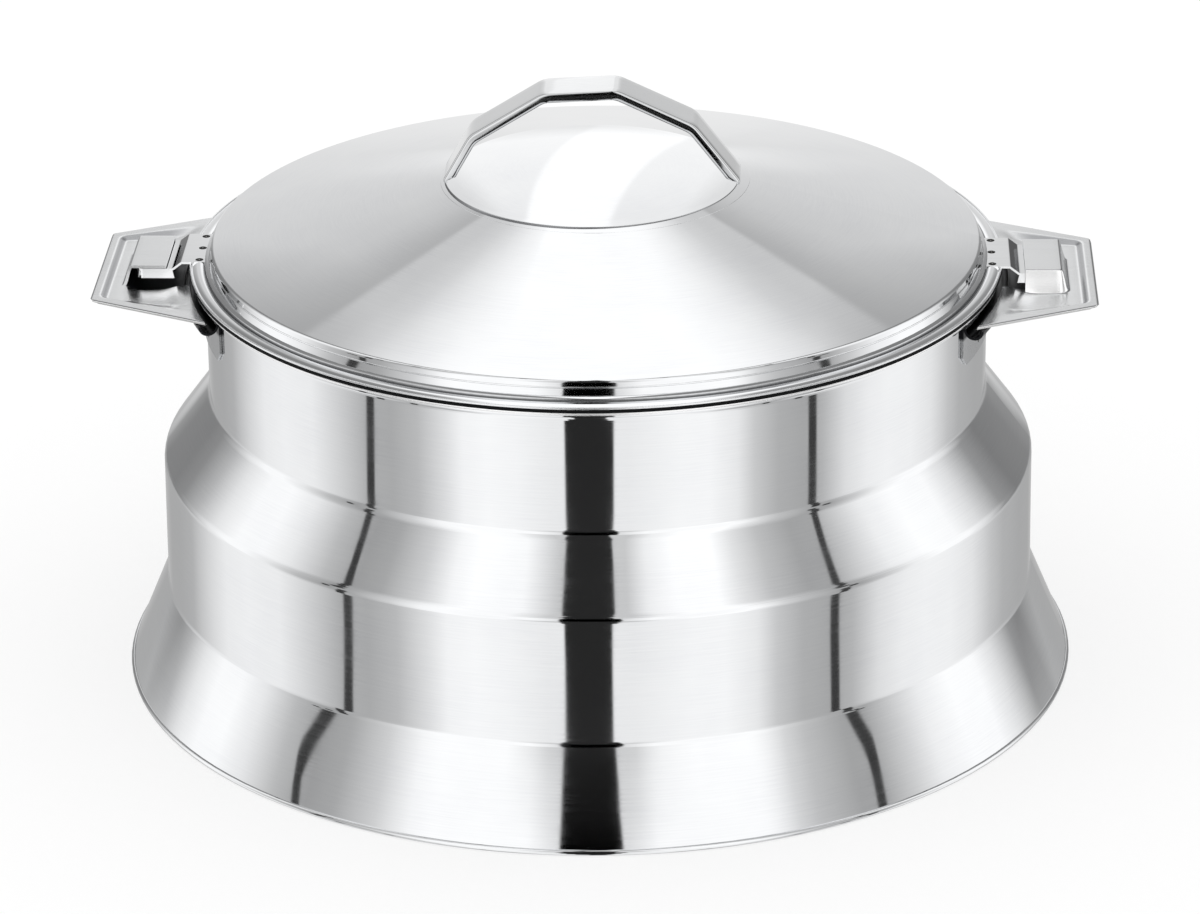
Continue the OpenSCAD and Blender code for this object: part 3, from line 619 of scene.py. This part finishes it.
# %% Tab weld marks
weld_place_x = 127.75 * mm
weld_pitch_y = 10.5 * mm
tab_weld, tree = new_material("tab_spot_weld_steel")
grain, roughness, bump = grained(tree, 0.5 * mm, 0.03 * mm, 0.18, 0.3)
place = add_node(tree, "TexCoord").outputs["Object"]
one_side = add_node(tree, "VectorMath", {0: place}, operation="ABSOLUTE")
in_plan = add_node(tree, "VectorMath", {0: one_side, 1: (1, 1, 0)}, operation="MULTIPLY")
middle_weld = (weld_place_x, 0, 0)
outer_weld = (weld_place_x, weld_pitch_y, 0)
from_middle = add_node(tree, "VectorMath", {0: in_plan, 1: middle_weld}, operation="DISTANCE")
from_outer = add_node(tree, "VectorMath", {0: in_plan, 1: outer_weld}, operation="DISTANCE")
from_weld = add_node(tree, "Math", {0: from_middle, 1: from_outer}, operation="MINIMUM")
burnt = add_node(tree, "MapRange", {"Value": from_weld, "From Min": 0.05 * mm, "From Max": 0.3 * mm})
face = add_node(tree, "Mix", {
    "Factor": burnt, "A": colour("#c4c3c0"), "B": colour("#242322")}, data_type="RGBA")
rim_rough = add_node(tree, "Mix", {"Factor": burnt, "A": roughness, "B": 0.5})
finish(tree, {"Metallic": 1.0, "Base Color": face, "Roughness": rim_rough, "Normal": bump})
print("tab welds at", round(weld_place_x / mm, 2), "mm from the middle")

# %% [markdown]
# ## The seal and the foam
# The lid's seal is a moulded ring of black silicone rubber: soft, dull and very finely grained,
# so it gives the eye a plain black line. Its IOR is 1.41.

# %% Silicone seal
seal_grain = 0.8 * mm
silicone, tree = new_material("black_silicone")
grain, roughness, bump = grained(tree, seal_grain, 0.02 * mm, 0.5, 0.62, 0.5)
tone = add_node(tree, "Mix", {
    "Factor": grain, "A": colour("#070708"), "B": colour("#101113")}, data_type="RGBA")
finish(tree, {
    "Base Color": tone, "Roughness": roughness, "Normal": bump, "IOR": 1.41, "Specular IOR Level": 0.12})
print("seal: grain", seal_grain / mm, "mm")

# %% [markdown]
# The walls are filled with rigid polyurethane foam, poured in as a liquid, which sets cream with
# small closed cells. It never shows on the closed pot.

# %% Insulation foam
cell_size = 0.5 * mm
patch_size = 30 * mm
foam, tree = new_material("polyurethane_foam")
place = add_node(tree, "TexCoord").outputs["Object"]
cells = add_node(tree, "TexVoronoi", {"Vector": place, "Scale": 1 / cell_size})
patches = add_node(tree, "TexNoise", {"Vector": place, "Scale": 1 / patch_size, "Detail": 3.0})
cell_tone = add_node(tree, "Mix", {
    "Factor": cells, "A": colour("#dccb8a"), "B": colour("#f0e4b4")}, data_type="RGBA")
tone = add_node(tree, "Mix", {"Factor": patches, "A": cell_tone, "B": colour("#e6d69a")}, data_type="RGBA")
bump = add_node(tree, "Bump", {"Height": cells, "Strength": 0.8, "Distance": 0.2 * mm})
finish(tree, {"Base Color": tone, "Roughness": 0.9, "Normal": bump, "IOR": 1.5})
print("foam: cells", cell_size / mm, "mm")

# %% [markdown]
# ## The finishes on the pieces
# Each node of the frame now gets the finish of the real piece. Only the slots of the node change,
# so its shape and its place in the joint tree stay.

# %% Dress the nodes
def dress(material, *names):
    for name in names:
        for slot in nodes[name].material_slots:
            slot.material = material


sides = ("left", "right")
dress(spun_mirror, "outer_shell", "crown_disc")
dress(lid_steel, "lid_shell")
dress(bowl_steel, "inner_pot")
dress(satin_steel, "lid_liner", "base_plate")
dress(bracket_steel, *(side + "_handle_bracket" for side in sides))
dress(pressed_steel, *(side + "_handle_plate" for side in sides))
dress(tab_steel, *(side + "_lock_tab" for side in sides))
dress(strap_steel, "strap_handle")
dress(weld_steel, "strap_welds", *(side + "_bracket_welds" for side in sides))
dress(tab_weld, *(side + "_tab_welds" for side in sides))
dress(silicone, "lid_gasket")
dress(foam, "body_insulation", "lid_insulation")
for name, node in nodes.items():
    print(name, "is", node.material_slots[0].material.name)

# %% [markdown]
# ## The side handles
# Each handle is one plate, stamped between dies from 1 mm sheet. The dies leave soft corners
# everywhere: around the sunken panel, up the walls of the bridge and along the rim. Because the
# sheet bends so softly, its picture in the mirror runs in smooth bands, which flat CAD faces
# can't show. So a new plate is made over the same lines. It is a net of points drawn in plan,
# with a height for each, and the sheet's thickness comes from a Solidify modifier. The net is
# torn where the real sheet is cut: along the bridge's inner edge, at its open mouth and in the
# slot between the bridge and the rim, where the lid's tab steps down.

# %% Handle lines, in mm
plate_root_r = 131.6
plate_end_x = 161.3
plate_end_y = 30.0
plate_slant = 0.4936
plate_z = 133.0
panel_depth = 1.7
corner_round = 3.0
edge_roll = 1.0
bridge_in_x = 138.3
bridge_end_x = 150.6
bridge_closed_y = -14.1
bridge_open_y = 14.0
bridge_z = 138.6
bridge_round = 3.6
wall_spread = 2.4
wall_top = 1.2
pocket_l = 3.0
even_x = 136.0
even_y = 20.0
sheet_t = 0.9
# The border around the panel and the slope down to it, both wider toward the root
slant_cos = 0.897
border_w = 3.0
border_growth = 2.4
slope_w = 2.6
slope_growth = 5.0
growth_to_x = 125
# At the outer end a short steep slope goes most of the way down and a long soft one the rest
steep_share = 0.7
steep_from = 2.4
steep_w = 3.2
soft_from = 3.0
soft_w = 14.0
root_slope_w = 12.0
corner_share = 0.9
roll_share = 0.8
print("handle", round(plate_end_x - plate_root_r, 1), "mm long")

# %% [markdown]
# Two curves shape the sheet. The eased one is soft all the way, as where sheet is drawn over a
# wide radius. The pressed one is a straight slope with a fillet at each end, as between two dies.

# %% Curves of the sheet
def half_width(x):
    """Half the plate's width at x, with the outer corners rounded"""
    straight = plate_end_y + (plate_end_x - x) * plate_slant
    near_end = max(0.0, corner_round - (plate_end_x - x))
    return straight - (corner_round - math.sqrt(corner_round ** 2 - near_end ** 2)) * corner_share


def eased(share):
    """A soft step from 0 to 1"""
    share = min(1.0, max(0.0, share))
    return share * share * share * (share * (6 * share - 15) + 10)


def pressed(share, fillet=0.22):
    """A straight slope from 0 to 1 with a fillet at each end"""
    share = min(1.0, max(0.0, share))
    if share > 0.5:
        return 1 - pressed(1 - share, fillet)
    slope = 1 / (1 - fillet)
    if share < fillet:
        return slope * share * share / (2 * fillet)
    return slope * (share - fillet / 2)


print("half the plate at its outer end:", round(half_width(plate_end_x), 1), "mm")

# %% [markdown]
# The height of the sheet is worked out for each point of the plan: first the panel with its
# slopes and the rolled rim, then the bridge that rises out of it.

# %% Heights of the stamped sheet
def panel_height(x, y):
    """Top of the sheet without the bridge: a border around a sunken panel"""
    from_end = plate_end_x - x
    along = from_end / (plate_end_x - growth_to_x)
    edge = (plate_end_y + from_end * plate_slant - abs(y)) * slant_cos
    side = pressed((edge - border_w - border_growth * along) / (slope_w + slope_growth * along))
    steep = steep_share * pressed((from_end - steep_from) / steep_w, 0.5)
    soft = (1 - steep_share) * eased((from_end - soft_from) / soft_w)
    root = eased((math.hypot(x, y) - plate_root_r) / root_slope_w)
    rim = max(0.0, edge_roll - min(edge, from_end))
    rolled = edge_roll - math.sqrt(max(0.0, edge_roll ** 2 - rim ** 2))
    return plate_z - panel_depth * side * (steep + soft) * root - rolled * roll_share


def bridge_height(x, y):
    """Top of the bridge: it rises out of the panel at its outer wall and its closed end"""
    from_end = bridge_end_x + wall_spread - x
    from_closed = y - bridge_closed_y + wall_spread
    if from_end < bridge_round and from_closed < bridge_round:
        inside = bridge_round - math.hypot(bridge_round - from_end, bridge_round - from_closed)
    else:
        inside = min(from_end, from_closed)
    low = panel_height(x, y)
    return low + (bridge_z - low) * eased(inside / bridge_round)


print("panel", round(plate_z - panel_height(150, 20), 2), "mm deep, bridge", bridge_z - plate_z, "mm high")

# %% [markdown]
# The net of points is finer where the sheet bends. Near the root its lines bend with the pot's
# rim, and at the sides they follow the slant, so every cut edge of the plate is a line of it.

# %% Net of points
def steps(first, last, pitch):
    """Even places from first to last, at about the given pitch"""
    count = max(1, round(abs(last - first) / pitch))
    return [first + (last - first) * i / count for i in range(count + 1)]


def joined(*runs):
    """Runs of places put end to end, each shared end once"""
    places = list(runs[0])
    for run in runs[1:]:
        places += run[1:]
    return places


fine = 0.3
closed_foot = bridge_closed_y - wall_spread
closed_top = bridge_closed_y + wall_top
outer_foot = bridge_end_x + wall_spread
outer_top = bridge_end_x - wall_top
mouth_end_y = bridge_open_y + pocket_l
across = joined(steps(-even_y, closed_foot, 0.9), steps(closed_foot, closed_top, fine),
                steps(closed_top, bridge_open_y, 1.5), steps(bridge_open_y, mouth_end_y, 1.0),
                steps(mouth_end_y, even_y, 1.0))
outward = joined(steps(even_x, bridge_in_x, 0.8), steps(bridge_in_x, outer_top, 1.4),
                 steps(outer_top, bridge_end_x, fine), steps(bridge_end_x, outer_foot, fine),
                 steps(outer_foot, plate_end_x, fine))
# Shares of the way from the even part out to the slanted side, and in to the root
beyond = [i / 32 for i in range(1, 30)] + [0.92, 0.935, 0.95, 0.962, 0.974, 0.983, 0.99, 0.996, 1]
near_root = [i / 16 for i in range(16)]


def net_point(root_share, x_place, y_place, side_share):
    """A point in plan. Where both lines bend, a few turns bring x and y together."""
    x = x_place if x_place else even_x
    y = y_place
    for turn in range(8):
        if side_share:
            y = math.copysign(even_y + (half_width(x) - even_y) * abs(side_share), side_share)
        if x_place is None:
            arc_x = math.sqrt(plate_root_r ** 2 - y * y)
            x = arc_x + (even_x - arc_x) * root_share
    return x, y


columns = [(share, None) for share in near_root] + [(0, x) for x in outward]
rows = ([(0, -share) for share in reversed(beyond)] + [(y, 0) for y in across]
        + [(0, share) for share in beyond])
net = [[net_point(root_share, x, y, side_share) for y, side_share in rows] for root_share, x in columns]
print("net of", len(columns), "by", len(rows), "points")

# %% [markdown]
# The bridge and the panel are two sheets that share their points where they meet. The net leaves
# out the slot and the strip in front of the bridge. Solidify then gives the sheet its thickness
# downward, and a narrow Bevel rounds the cut edges.

# %% Stamped plates
one_point = 0.005 * mm
cut_edge_r = 0.3 * mm
cut_edge_angle = math.radians(50)


def smooth_piece(build, name, material):
    """Make a piece of one material, smoothly shaded, out of what was built"""
    for face in build.faces:
        face.smooth = True
    mesh = bpy.data.meshes.new(name)
    build.to_mesh(mesh)
    build.free()
    mesh.materials.append(material)
    return add_object(name, mesh)


def stamped_plate(name):
    build = bmesh.new()
    made = {}

    def corner(sheet, i, j):
        if (sheet, i, j) not in made:
            x, y = net[i][j]
            z = bridge_height(x, y) if sheet == "bridge" else panel_height(x, y)
            made[sheet, i, j] = build.verts.new((x * mm, y * mm, z * mm))
        return made[sheet, i, j]

    for i in range(len(net) - 1):
        for j in range(len(rows) - 1):
            middle_x = (net[i][j][0] + net[i + 1][j + 1][0]) / 2
            middle_y = (net[i][j][1] + net[i + 1][j + 1][1]) / 2
            past_in = middle_x > bridge_in_x
            in_slot = not past_in and bridge_closed_y < middle_y < mouth_end_y
            in_mouth = past_in and middle_x < bridge_end_x and bridge_open_y < middle_y < mouth_end_y
            if in_slot or in_mouth:
                continue
            on_bridge = past_in and middle_x < outer_foot and closed_foot < middle_y < bridge_open_y
            sheet = "bridge" if on_bridge else "panel"
            build.faces.new([corner(sheet, i, j), corner(sheet, i + 1, j),
                             corner(sheet, i + 1, j + 1), corner(sheet, i, j + 1)])
    bmesh.ops.remove_doubles(build, verts=build.verts, dist=one_point)
    bmesh.ops.recalc_face_normals(build, faces=build.faces)
    if sum(face.normal.z for face in build.faces) < 0:
        bmesh.ops.reverse_faces(build, faces=build.faces)
    piece = smooth_piece(build, name, pressed_steel)
    sheet = piece.modifiers.new("sheet", "SOLIDIFY")
    sheet.thickness = sheet_t * mm
    sheet.offset = -1
    edge = piece.modifiers.new("soft edge", "BEVEL")
    edge.width = cut_edge_r
    edge.segments = 3
    edge.limit_method = "ANGLE"
    edge.angle_limit = cut_edge_angle
    edge.harden_normals = True
    return piece


for side in sides:
    plate = stamped_plate(side + "_stamped_plate")
    if side == "left":
        plate.rotation_euler.z = math.pi
    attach(plate, "pot")
    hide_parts(side + "_handle_plate")
    print(plate.name, len(plate.data.polygons), "faces")

# %% [markdown]
# ## The crown disc
# The disc that covers the strap's feet is pressed to a shallow dome, and its edge is rolled down
# onto the lid. A turned profile gives both: a ball face, then a small round edge. It stands in
# for the CAD disc, whose slots for the strap's legs would show as holes.

# %% Turned pieces
def turned_piece(name, profile, material, turns=240, centre_x=0.0, closed=False):
    """Turn (radius, height) points in mm around an upright axis. A closed profile makes a ring."""
    build = bmesh.new()
    rings = []
    for radius, z in profile:
        if radius < 1e-6:
            rings.append([build.verts.new((centre_x * mm, 0, z * mm))] * turns)
            continue
        ring = []
        for i in range(turns):
            a = 2 * math.pi * i / turns
            x = centre_x + radius * math.cos(a)
            ring.append(build.verts.new((x * mm, radius * math.sin(a) * mm, z * mm)))
        rings.append(ring)
    pairs = list(zip(rings, rings[1:] + rings[:1])) if closed else list(zip(rings, rings[1:]))
    for first, second in pairs:
        for i in range(turns):
            k = (i + 1) % turns
            # At the axis two corners are one point, which a face may hold only once
            corners = dict.fromkeys((first[i], first[k], second[k], second[i]))
            build.faces.new(list(corners))
    bmesh.ops.recalc_face_normals(build, faces=build.faces)
    return smooth_piece(build, name, material)


def arc(centre_r, centre_z, radius, first, last, count):
    """Points of an arc in a profile, angles in degrees from outward, turning up"""
    points = []
    for i in range(count + 1):
        a = math.radians(first + (last - first) * i / count)
        points.append((centre_r + radius * math.cos(a), centre_z + radius * math.sin(a)))
    return points


print("a turned ring has a point every", round(math.tau * 130 / 240, 1), "mm at the rim")

# %% [markdown]
# The cover is a thin shell: the dome, the rolled edge, and the underside a little way in. Its
# middle is 1 mm left of the axis. Under its edge the cone runs on as a ring, so no flat step of
# the CAD shows between the two.

# %% Crown cover
crown_x = -1.0
dome_top = 169.1
dome_ball = 299.7
dome_r = 47.2
cover_r = 47.6
cover_low = 164.5
cover_t = 0.6
cone_r = 49.6
cone_z = 164.31
cone_rise = 0.26


def dome_height(radius):
    return dome_top - dome_ball + math.sqrt(dome_ball ** 2 - radius ** 2)


edge_drop = dome_height(dome_r) - cover_low
dome = [(dome_r * i / 20, dome_height(dome_r * i / 20)) for i in range(21)]
rolled = []
for i in range(1, 13):
    a = math.radians(90 * i / 12)
    rolled.append((dome_r + (cover_r - dome_r) * math.sin(a), cover_low + edge_drop * math.cos(a)))
inside = [(cover_r - 0.5, cover_low), (cover_r - 0.9, cover_low + 0.3),
          (dome_r - 1, dome_height(dome_r - 1) - cover_t)]
under = [(dome_r * i / 6, dome_height(dome_r * i / 6) - cover_t) for i in range(5, -1, -1)]
cover = turned_piece("crown_cover", dome + rolled + inside + under, crown_steel, centre_x=crown_x)
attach(cover, "lid")
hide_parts("crown_disc")

skirt_line = [(r, cone_z + cone_rise * (cone_r - r)) for r in (49.85, 49.75, 46.2, 46.1)]
skirt_line += [(46.0, 165.2), (46.0, 164.8), (49.4, 164.0)]
skirt = turned_piece("crown_skirt", skirt_line, lid_steel, closed=True)
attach(skirt, "lid")
print("crown cover", 2 * cover_r, "mm across")

# %% [markdown]
# ## The strap handle
# The handle is one strip with its long sides turned down, bent four times. A press leaves each
# bend round and runs each turned edge into the next without a break. The strip's outline is
# pulled along the bent path. Its feet turn in under the crown disc.

# %% Strap
strap_corners = [(-36.0, 164.3), (-49.6, 164.3), (-40.1, 180.96), (-16.55, 195.4),
                 (7.41, 196.7), (32.3, 184.98), (48.4, 164.3), (34.0, 164.3)]
strap_bends = [0, 1.6, 9.0, 9.0, 9.0, 9.0, 1.6, 0]
strap_half = 8.0
strap_side = 3.0
strap_edge = 0.8
least_side = 1.0
strap_t = 0.8
strap_step = 2.5
side_from_z = 166.4
side_full_z = 168.6


def rounded_route(corners, radii, bend_steps=8):
    """Points along a bent line, each with its outward direction"""
    route = []
    for i, (corner, radius) in enumerate(zip(corners, radii)):
        here = Vector(corner)
        if i in (0, len(corners) - 1):
            other = Vector(corners[1] if i == 0 else corners[-2])
            along = (other - here if i == 0 else here - other).normalized()
            route.append((here, Vector((-along.y, along.x))))
            continue
        back = (Vector(corners[i - 1]) - here).normalized()
        on = (Vector(corners[i + 1]) - here).normalized()
        half = back.angle(on) / 2
        middle = here + (back + on).normalized() * (radius / math.sin(half))
        first = here + back * (radius / math.tan(half)) - middle
        last = here + on * (radius / math.tan(half)) - middle
        for step in range(bend_steps + 1):
            spoke = first.slerp(last, step / bend_steps).normalized()
            route.append((middle + spoke * radius, spoke))
    return route


route = rounded_route(strap_corners, strap_bends)
fine_route = []
for (here, out), (there, out_next) in zip(route, route[1:]):
    count = max(1, round((there - here).length / strap_step))
    for step in range(count):
        share = step / count
        fine_route.append((here.lerp(there, share), out.lerp(out_next, share).normalized()))
fine_route.append(route[-1])
print("strap route", len(fine_route), "points")

# %% [markdown]
# The outline across the strap is the flat top with a small round at each side and the sides
# turned down. The sides get lower near the feet, where the strap goes under the crown disc.
# The outline has only the outer face, and Solidify gives the sheet its 0.8 mm.

# %% Strap mesh
def bent_strap(name):
    build = bmesh.new()
    left_edge = []
    for i in range(7):
        a = math.radians(180 - 90 * i / 6)
        left_edge.append((-strap_half + strap_edge * (1 + math.cos(a)), strap_edge * (1 - math.sin(a))))
    top = [(y, 0) for y in (-4.5, -2, 0, 2, 4.5)]
    rings = []
    for place, out in fine_route:
        over = min(1.0, max(0.0, (place.y - side_from_z) / (side_full_z - side_from_z)))
        side = least_side + (strap_side - least_side) * over
        half_outline = [(-strap_half, side), (-strap_half, (side + strap_edge) / 2)] + left_edge
        whole = half_outline + top + [(-y, depth) for y, depth in reversed(half_outline)]
        ring = []
        for y, depth in whole:
            spot = place - out * depth
            ring.append(build.verts.new((spot.x * mm, y * mm, spot.y * mm)))
        rings.append(ring)
    for first, second in zip(rings, rings[1:]):
        for k in range(len(first) - 1):
            build.faces.new((first[k], first[k + 1], second[k + 1], second[k]))
    bmesh.ops.recalc_face_normals(build, faces=build.faces)
    top_face = max(build.faces, key=lambda face: face.calc_center_median().z)
    if top_face.normal.z < 0:
        bmesh.ops.reverse_faces(build, faces=build.faces)
    piece = smooth_piece(build, name, strap_steel)
    sheet = piece.modifiers.new("sheet", "SOLIDIFY")
    sheet.thickness = strap_t * mm
    sheet.offset = -1
    return piece


strap = bent_strap("bent_strap")
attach(strap, "lid")
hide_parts("strap_handle")
# The disc and the cone show the plain tent, so mirrored rays look past the strap
strap.visible_glossy = False
print("strap faces", len(strap.data.polygons))

# %% [markdown]
# ## The closed rim
# Seen from the front the rim is a stack of fine lines. The lip wall runs out through a small
# slope into a groove. Outside that a low round bead stiffens the lid's edge, which ends in a
# folded hem. Under the hem is the black lip of the silicone seal, which also stands in for the
# shadow in the gap between the lid and the bowl, then the bowl's rolled bead.
# The slope, bead and hem are one turned ring that lies on the CAD flange. A fine raised line runs
# around the wall, where the sheet was creased.

# %% Edge ring and seal lip
chamfer = [(125.1, 140.4), (125.2, 140.42), (125.26, 140.4), (126.22, 139.87), (126.28, 139.83)]
groove = [(126.36, 139.5), (126.48, 139.12), (126.7, 139.08), (126.9, 139.14)]
bead = [(127.1, 139.24), (127.5, 139.34), (128.0, 139.37), (128.5, 139.34), (129.0, 139.24),
        (129.5, 139.08), (130.0, 138.88), (130.3, 138.76)]
hem = [(130.45, 138.7), (130.6, 138.85)] + arc(130.93, 138.62, 0.42, 110, -80, 12)
inner_side = [(128.0, 138.2), (125.3, 138.9)]
edge_ring = turned_piece("lid_edge_ring", chamfer + groove + bead + hem + inner_side, lid_steel, closed=True)
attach(edge_ring, "lid")
# The seal's black lip also stands in for the shadow in the gap between the lid and the bowl
lip_profile = [(130.0, 138.3), (131.3, 138.3), (131.38, 138.2), (131.38, 137.35), (131.3, 137.25),
               (130.0, 137.25)]
seal_lip_and_gap_shade = turned_piece("seal_lip_and_gap_shade", lip_profile, silicone, closed=True)
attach(seal_lip_and_gap_shade, "lid")
crease_ring = turned_piece("lid_crease_ring", arc(124.4, 142.75, 0.34, 80, -60, 10) + [(124.2, 142.5)],
                           lid_steel, closed=True)
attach(crease_ring, "lid")
print("hem to radius", round(max(r for r, z in hem), 2), "mm, seal lip to", lip_profile[2][0], "mm")

# %% [markdown]
# ## The tab weld marks
# Each spot weld leaves a shallow dish with a raised burnt rim, squeezed up by the copper tip.
# Three stand in a row on each tab. The flat CAD discs are replaced by turned dishes.

# %% Weld dishes
weld_dish = [(0.0, 139.44), (0.35, 139.44), (0.6, 139.5), (0.85, 139.56), (1.1, 139.5), (1.25, 139.38)]
for side, sign in (("left", -1), ("right", 1)):
    dishes = []
    for row in (-1, 0, 1):
        dish = turned_piece(side + "_weld_dishes", weld_dish, tab_weld, turns=24)
        dish.data.transform(Matrix.Translation((sign * weld_place_x, row * weld_pitch_y, 0)))
        dishes.append(dish)
    build = bmesh.new()
    for dish in dishes:
        build.from_mesh(dish.data)
    build.to_mesh(dishes[0].data)
    build.free()
    for dish in dishes[1:]:
        bpy.data.objects.remove(dish)
    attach(dishes[0], "lid")
    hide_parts(side + "_tab_welds")
print("weld dishes", 2 * weld_dish[-1][0], "mm across")

# %% [markdown]
# ## Soft edges
# The lock tabs stay as the CAD has them, but stamped sheet has no knife edges. The CAD faces come
# unjoined, so a Weld modifier joins them, a narrow Bevel rounds their edges, and hardened normals
# keep the flat faces flat.

# %% Round the edges of the lock tabs
tab_edge_r = 0.2 * mm
tab_edge_angle = math.radians(25)
join_within = 0.01 * mm
for side in sides:
    tab = nodes[side + "_lock_tab"]
    join = tab.modifiers.new("join faces", "WELD")
    join.merge_threshold = join_within
    edge = tab.modifiers.new("soft edge", "BEVEL")
    edge.width = tab_edge_r
    edge.segments = 2
    edge.limit_method = "ANGLE"
    edge.angle_limit = tab_edge_angle
    edge.harden_normals = True
print("soft edges:", tab_edge_r / mm, "mm")
